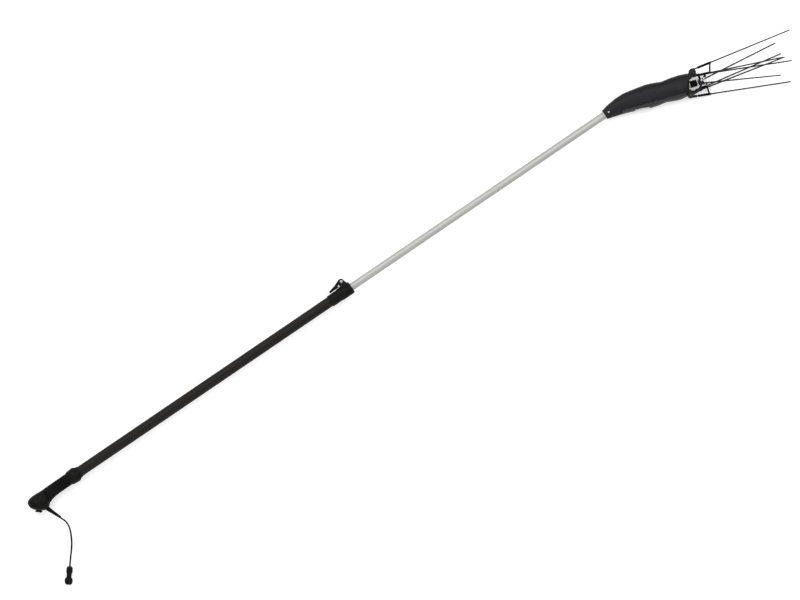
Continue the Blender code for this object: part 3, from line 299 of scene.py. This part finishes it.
def turned(profile, segments=64):
    """A solid turned about Z by extruding a circle through (radius, z) points."""
    deselect()
    last_radius, last_z = profile[0]
    bpy.ops.mesh.primitive_circle_add(vertices=segments, radius=last_radius, fill_type="NGON")
    obj = bpy.context.active_object
    bpy.ops.object.mode_set(mode="EDIT")
    bpy.ops.mesh.select_all(action="SELECT")
    bpy.ops.transform.translate(value=(0, 0, last_z))
    for radius, z in profile[1:]:
        bpy.ops.mesh.extrude_region_move(TRANSFORM_OT_translate={"value": (0, 0, z - last_z)})
        growth = radius / last_radius
        bpy.ops.transform.resize(value=(growth, growth, 1), center_override=(0, 0, z))
        last_radius, last_z = radius, z
    bpy.ops.mesh.select_all(action="SELECT")
    bpy.ops.mesh.normals_make_consistent(inside=False)
    bpy.ops.object.mode_set(mode="OBJECT")
    return obj


def lay_along_pole(obj):
    """Turns a piece drawn about Z onto the pole, with its Z along the pole's X."""
    obj.matrix_world = Matrix.Translation((0, POLE_Y, POLE_Z)) @ Matrix.Rotation(math.pi / 2, 4, "Y")


def refined(node, edge_share=1.0, bevel=True, reshape=None):
    """A copy of a node, with its doubles merged and its hard edges rounded, which stands for the node.

    A reshape is a function that changes the copy before its edges are rounded."""
    source = frame["nodes"][node]
    deselect()
    obj = source.copy()
    obj.data = source.data.copy()
    for key in list(obj.keys()):
        del obj[key]
    obj.parent = None
    bpy.context.scene.collection.objects.link(obj)
    only(obj)
    bpy.ops.object.mode_set(mode="EDIT")
    bpy.ops.mesh.select_all(action="SELECT")
    bpy.ops.mesh.remove_doubles(threshold=0.000002)
    bpy.ops.mesh.dissolve_limited(angle_limit=math.radians(0.6))
    bpy.ops.object.mode_set(mode="OBJECT")
    if reshape:
        reshape(obj)
    if bevel:
        rounding = obj.modifiers.new("edge", "BEVEL")
        rounding.width = sizes().edge * edge_share
        rounding.segments = 2
        rounding.limit_method = "ANGLE"
        rounding.angle_limit = math.radians(40)
        rounding.use_clamp_overlap = True
        apply_modifiers(obj)
    hand_over(obj, node + "_skin", node)
    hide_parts(node)
    return obj


def move_where(obj, chosen, step):
    """Moves by one step the vertices whose place is chosen."""
    only(obj)
    bpy.ops.object.mode_set(mode="EDIT")
    bpy.ops.mesh.select_mode(type="VERT")
    bpy.ops.mesh.select_all(action="DESELECT")
    bpy.ops.object.mode_set(mode="OBJECT")
    for vertex in obj.data.vertices:
        vertex.select = chosen(obj.matrix_world @ vertex.co)
    bpy.ops.object.mode_set(mode="EDIT")
    bpy.ops.transform.translate(value=step)
    bpy.ops.object.mode_set(mode="OBJECT")


def grooved(start, stop, count, radius, depth):
    """Profile points of a stretch with rounded ribs, each between two grooves."""
    points = []
    pitch = (stop - start) / count
    for rib in range(count):
        for share, drop in ((0.05, 1.0), (0.22, 0.15), (0.4, 0.0), (0.6, 0.0), (0.78, 0.15), (0.95, 1.0)):
            points.append((radius - depth * drop, start + pitch * (rib + share)))
    return points


# ---- pieces -----------------------------------------------------------------------------------------------
class HARVESTER_OT_finishes(bpy.types.Operator):
    """Give every node of the frame its finish"""

    bl_idname = "harvester.finishes"
    bl_label = "Finishes"

    def execute(self, context):
        for name, node in frame["nodes"].items():
            node.data.materials.clear()
            node.data.materials.append(finish_of(FINISH_NAMES[name]))
        return {"FINISHED"}


class HARVESTER_OT_pole(bpy.types.Operator):
    """Turn the two tubes with their rolled ends"""

    bl_idname = "harvester.pole"
    bl_label = "Pole tubes"

    def execute(self, context):
        for node, wall in (("upper_tube", 1.2 * MM), ("lower_tube", 1.4 * MM)):
            low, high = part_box(node)
            radius = (high.z - low.z) / 2
            round_end = 0.4 * MM
            inner = radius - wall
            profile = [(inner, low.x), (radius - round_end, low.x), (radius, low.x + round_end)]
            profile += [(radius, high.x - round_end), (radius - round_end, high.x), (inner, high.x)]
            tube = turned(profile)
            self.open_bore(tube, inner)
            lay_along_pole(tube)
            hand_over(tube, node + "_skin", node)
            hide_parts(node)
        return {"FINISHED"}

    @staticmethod
    def open_bore(tube, inner):
        """Joins the two end faces through the tube, so that it is open from end to end."""
        only(tube)
        bpy.ops.object.mode_set(mode="EDIT")
        mesh = bmesh.from_edit_mesh(tube.data)
        for face in mesh.faces:
            face.select = len(face.verts) > 4
        bmesh.update_edit_mesh(tube.data)
        bpy.ops.mesh.bridge_edge_loops()
        bpy.ops.mesh.select_all(action="SELECT")
        bpy.ops.mesh.normals_make_consistent(inside=False)
        bpy.ops.object.mode_set(mode="OBJECT")


class HARVESTER_OT_clamp(bpy.types.Operator):
    """Round the edges of the clamp's pieces, and give the lever a deeper tail"""

    bl_idname = "harvester.clamp"
    bl_label = "Clamp"

    def execute(self, context):
        for node in ("clamp_collar", "clamp_pin", "clamp_screw"):
            refined(node, edge_share=0.6)
        refined("clamp_lever", edge_share=1.2, reshape=self.deepen_tail)
        return {"FINISHED"}

    @staticmethod
    def deepen_tail(lever):
        """Lowers the underside behind the pin, until it nearly lies on the collar."""
        pin_low, pin_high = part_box("clamp_pin")
        pin = (Vector(pin_low) + Vector(pin_high)) / 2
        behind, below, drop = 9 * MM, 7.5 * MM, 2.2 * MM
        move_where(lever, lambda p: p.x < pin.x - behind and p.y < pin.y - below, (0, -drop, 0))


class HARVESTER_OT_handle(bpy.types.Operator):
    """Round the pommel, the switch and the hand stop, and rib the grip sleeve"""

    bl_idname = "harvester.handle"
    bl_label = "Handle"

    def execute(self, context):
        for node in ("pommel_front_shell", "pommel_rear_shell", "hand_stop", "switch_bezel", "switch_rocker"):
            refined(node, edge_share=0.5)
        refined("grip_sleeve", edge_share=1.0)
        self.ribs()
        return {"FINISHED"}

    @staticmethod
    def ribs():
        """Raised rings round the straight front of the grip, half sunk in the sleeve."""
        low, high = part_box("grip_sleeve")
        start, stop = low.x + PLAIN_REAR, high.x - PLAIN_FRONT
        rise = sizes().rib_depth
        count = sizes().grip_ribs
        pitch = (stop - start) / count
        band = []
        for rib in range(count):
            deselect()
            x = start + pitch * (rib + 0.5)
            bpy.ops.mesh.primitive_torus_add(
                major_segments=64, minor_segments=8, major_radius=GRIP_R, minor_radius=rise
            )
            ring = bpy.context.active_object
            bpy.ops.object.mode_set(mode="EDIT")
            bpy.ops.mesh.select_all(action="SELECT")
            bpy.ops.transform.resize(value=(1, 1, 1.6))
            bpy.ops.transform.translate(value=(0, 0, x))
            bpy.ops.object.mode_set(mode="OBJECT")
            lay_along_pole(ring)
            band.append(ring)
        deselect()
        for ring in band:
            ring.select_set(True)
        bpy.context.view_layer.objects.active = band[0]
        bpy.ops.object.join()
        hand_over(bpy.context.active_object, "grip_ribs", "grip_sleeve")


class HARVESTER_OT_cord(bpy.types.Operator):
    """Lay the cord, with its strain relief and its connector"""

    bl_idname = "harvester.cord"
    bl_label = "Cord"

    def execute(self, context):
        pieces = [refined("strain_relief", edge_share=0.4, reshape=self.reach_cord)]
        pieces += [refined(node, edge_share=0.8) for node in ("connector_body", "connector_cap")]
        pieces.append(self.connector_ribs())
        deselect()
        curve = bpy.data.curves.new("power_cord_skin", "CURVE")
        curve.dimensions = "3D"
        spline = curve.splines.new("POLY")
        points = self.smooth_route(6)
        spline.points.add(len(points) - 1)
        for slot, point in zip(spline.points, points):
            slot.co = (*point, 1.0)
        curve.bevel_depth = sizes().cord_diameter / 2
        curve.bevel_resolution = 5
        curve.use_fill_caps = True
        curve.materials.append(finish_of("moulded_rubber"))
        cord = bpy.data.objects.new("power_cord_skin", curve)
        bpy.context.scene.collection.objects.link(cord)
        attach(cord, BODY_OF["power_cord"])
        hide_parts("power_cord")
        return {"FINISHED"}

    @staticmethod
    def reach_cord(relief):
        """Moves the tip of the strain relief out, so that the cord starts inside it."""
        start = Vector(CORD_ROUTE[0])
        way = (Vector(CORD_ROUTE[1]) - start).normalized()
        near, reach = 0.9 * MM, 0.8 * MM
        move_where(relief, lambda p: (p - start).dot(way) > -near, way * reach)

    @staticmethod
    def smooth_route(per_span):
        """Points on the smooth curve through the route's points."""
        points = [Vector(p) for p in CORD_ROUTE]
        padded = [2 * points[0] - points[1]] + points + [2 * points[-1] - points[-2]]
        result = []
        for a, b, c, d in zip(padded, padded[1:], padded[2:], padded[3:]):
            for step in range(per_span):
                t = step / per_span
                square = (2 * a - 5 * b + 4 * c - d) * t**2
                cube = (3 * b - a - 3 * c + d) * t**3
                result.append((2 * b + (c - a) * t + square + cube) / 2)
        result.append(points[-1])
        return result

    @staticmethod
    def connector_ribs():
        """The ribbed band round the connector's straight part, for the fingers."""
        radius = 10.6 * MM
        start, stop = 7.5 * MM, 17.5 * MM
        profile = [(radius - sizes().rib_depth, start)]
        profile += grooved(start, stop, 5, radius, sizes().rib_depth)
        profile += [(radius - sizes().rib_depth, stop)]
        band = turned(profile, segments=48)
        place = Matrix.Translation(CORD_ROUTE[-1])
        band.matrix_world = place @ CONNECTOR_WAY.to_track_quat("Z", "Y").to_matrix().to_4x4()
        return hand_over(band, "connector_ribs", "connector_body")


class HARVESTER_OT_head(bpy.types.Operator):
    """Round the head's shells, its pivots, its label and the bellows"""

    bl_idname = "harvester.head"
    bl_label = "Head"

    def execute(self, context):
        for node in ("main_shell", "side_cover"):
            refined(node, edge_share=0.8)
        refined("gearbox_nose", edge_share=0.8, reshape=self.close_seam)
        for node in ("socket_screw", "push_rod_bush", "pivot_pin_upper", "pivot_pin_lower", "blank_label"):
            refined(node, edge_share=0.3)
        refined("bellows", edge_share=1.0)
        return {"FINISHED"}

    @staticmethod
    def close_seam(nose):
        """Moves the nose's rear rim back, until it all but touches the main shell."""
        shell = frame["nodes"]["main_shell"]
        front = max((shell.matrix_world @ v.co).dot(SEAM_WAY) for v in shell.data.vertices)
        rear = min((nose.matrix_world @ v.co).dot(SEAM_WAY) for v in nose.data.vertices)
        left = 0.02 * MM
        if rear > front + left:
            rim = rear + 0.05 * MM
            move_where(nose, lambda p: p.dot(SEAM_WAY) < rim, SEAM_WAY * (front + left - rear))


class HARVESTER_OT_drive(bpy.types.Operator):
    """Round the pieces of the drive that show between the rakes"""

    bl_idname = "harvester.drive"
    bl_label = "Drive"

    def execute(self, context):
        shown = ["push_rod", "crosshead", "crosshead_pin_upper", "crosshead_pin_lower"]
        for node in shown + ["link_upper", "link_lower"]:
            refined(node, edge_share=0.4)
        return {"FINISHED"}


class HARVESTER_OT_rakes(bpy.types.Operator):
    """Round the carriers and the rubber bridges, and give the tines copies without rounding"""

    bl_idname = "harvester.rakes"
    bl_label = "Rakes"

    def execute(self, context):
        for side in ("upper", "lower"):
            refined(f"rake_carrier_{side}", edge_share=0.5)
            refined(f"rake_bridge_{side}", edge_share=0.7)
            for tine in ("outer", "inner", "cross", "centre"):
                refined(f"tine_{side}_{tine}", bevel=False)
        return {"FINISHED"}


# ---- stage ------------------------------------------------------------------------------------------------
class HARVESTER_OT_stage(bpy.types.Operator):
    """Set the pale floor, the soft lamps and the camera that looks down on the tool"""

    bl_idname = "harvester.stage"
    bl_label = "Stage"

    def execute(self, context):
        scene = context.scene
        scene.view_settings.view_transform = "Standard"
        self.floor()
        self.lamps()
        self.camera(scene)
        self.world(scene)
        return {"FINISHED"}

    @staticmethod
    def floor():
        """A floor that is plain white to the camera, apart from the tool's shadow."""
        deselect()
        centre = (cad_low + cad_high) / 2
        bpy.ops.mesh.primitive_plane_add(size=40, location=(centre.x, centre.y, -0.0005))
        plane = bpy.context.active_object
        plane.name = "floor"
        paper = bpy.data.materials.new("white_paper")
        paper.use_nodes = True
        tree = paper.node_tree
        shader = tree.nodes["Principled BSDF"]
        shader.inputs["Base Color"].default_value = linear("F4F4F4")
        shader.inputs["Roughness"].default_value = 0.9
        way = add_node(tree, "ShaderNodeLightPath")
        glow = add_node(tree, "ShaderNodeEmission", {"Color": (1, 1, 1, 1), "Strength": 0.35})
        both = add_node(
            tree, "ShaderNodeAddShader", links={0: shader.outputs["BSDF"], 1: glow.outputs["Emission"]}
        )
        mixed = add_node(
            tree,
            "ShaderNodeMixShader",
            links={0: way.outputs["Is Camera Ray"], 1: shader.outputs["BSDF"], 2: both.outputs["Shader"]},
        )
        tree.links.new(mixed.outputs["Shader"], tree.nodes["Material Output"].inputs["Surface"])
        plane.data.materials.append(paper)

    @staticmethod
    def lamps():
        """Three large soft lamps round the tool."""
        middle = Vector((-1.15, -0.06, 0))
        for name, place, width, power in (
            ("key_lamp", (-0.6, 2.4, 3.0), 3.0, 75),
            ("fill_lamp", (-1.6, -2.6, 2.6), 3.0, 40),
            ("rim_lamp", (1.8, 0.4, 2.4), 2.0, 30),
        ):
            light = bpy.data.lights.new(name, "AREA")
            light.size = width
            light.energy = power
            lamp = bpy.data.objects.new(name, light)
            lamp.location = middle + Vector(place)
            lamp.rotation_euler = (-Vector(place)).to_track_quat("-Z", "Y").to_euler()
            bpy.context.scene.collection.objects.link(lamp)

    @staticmethod
    def camera(scene):
        """A long lens straight above, turned so that the pole runs up to the right."""
        data = bpy.data.cameras.new("camera")
        data.lens = LENS
        data.sensor_width = 36
        data.clip_end = 100
        camera = bpy.data.objects.new("camera", data)
        height = VIEW_WIDTH * LENS / data.sensor_width
        camera.location = (*VIEW_CENTRE, height + POLE_Z)
        camera.rotation_euler = (0, 0, VIEW_TURN)
        scene.collection.objects.link(camera)
        scene.camera = camera

    @staticmethod
    def world(scene):
        """White to the camera, and a plain pale grey that lights the tool."""
        world = bpy.data.worlds.new("studio")
        world.use_nodes = True
        tree = world.node_tree
        ambient = tree.nodes["Background"]
        ambient.inputs["Strength"].default_value = 0.55
        ambient.inputs["Color"].default_value = (1, 1, 1, 1)
        way = add_node(tree, "ShaderNodeLightPath")
        white = add_node(tree, "ShaderNodeBackground", {"Color": (1, 1, 1, 1), "Strength": 1.0})
        seen = way.outputs["Is Camera Ray"]
        mixed = add_node(
            tree,
            "ShaderNodeMixShader",
            links={0: seen, 1: ambient.outputs["Background"], 2: white.outputs["Background"]},
        )
        tree.links.new(mixed.outputs["Shader"], tree.nodes["World Output"].inputs["Surface"])
        scene.world = world


class HARVESTER_PT_panel(bpy.types.Panel):
    """The pieces and settings of the tool"""

    bl_idname = "HARVESTER_PT_panel"
    bl_label = "Olive harvester"
    bl_space_type = "VIEW_3D"
    bl_region_type = "UI"
    bl_category = "Harvester"

    def draw(self, context):
        for group in (context.scene.harvester_sizes, context.scene.harvester_colours):
            for name in group.__annotations__:
                self.layout.prop(group, name)
        for operator in OPERATORS:
            self.layout.operator(operator.bl_idname)


OPERATORS = (
    HARVESTER_OT_stage,
    HARVESTER_OT_finishes,
    HARVESTER_OT_cord,
    HARVESTER_OT_pole,
    HARVESTER_OT_clamp,
    HARVESTER_OT_handle,
    HARVESTER_OT_head,
    HARVESTER_OT_drive,
    HARVESTER_OT_rakes,
)
CLASSES = (HarvesterSizes, HarvesterColours, *OPERATORS, HARVESTER_PT_panel)


def register():
    for cls in CLASSES:
        bpy.utils.register_class(cls)
    bpy.types.Scene.harvester_sizes = bpy.props.PointerProperty(type=HarvesterSizes)
    bpy.types.Scene.harvester_colours = bpy.props.PointerProperty(type=HarvesterColours)


def unregister():
    del bpy.types.Scene.harvester_colours
    del bpy.types.Scene.harvester_sizes
    for cls in reversed(CLASSES):
        bpy.utils.unregister_class(cls)


def main():
    register()
    bpy.ops.harvester.stage()
    bpy.ops.harvester.finishes()
    bpy.ops.harvester.cord()
    bpy.ops.harvester.pole()
    bpy.ops.harvester.clamp()
    bpy.ops.harvester.handle()
    bpy.ops.harvester.head()
    bpy.ops.harvester.drive()
    bpy.ops.harvester.rakes()


if __name__ == "__main__":
    main()
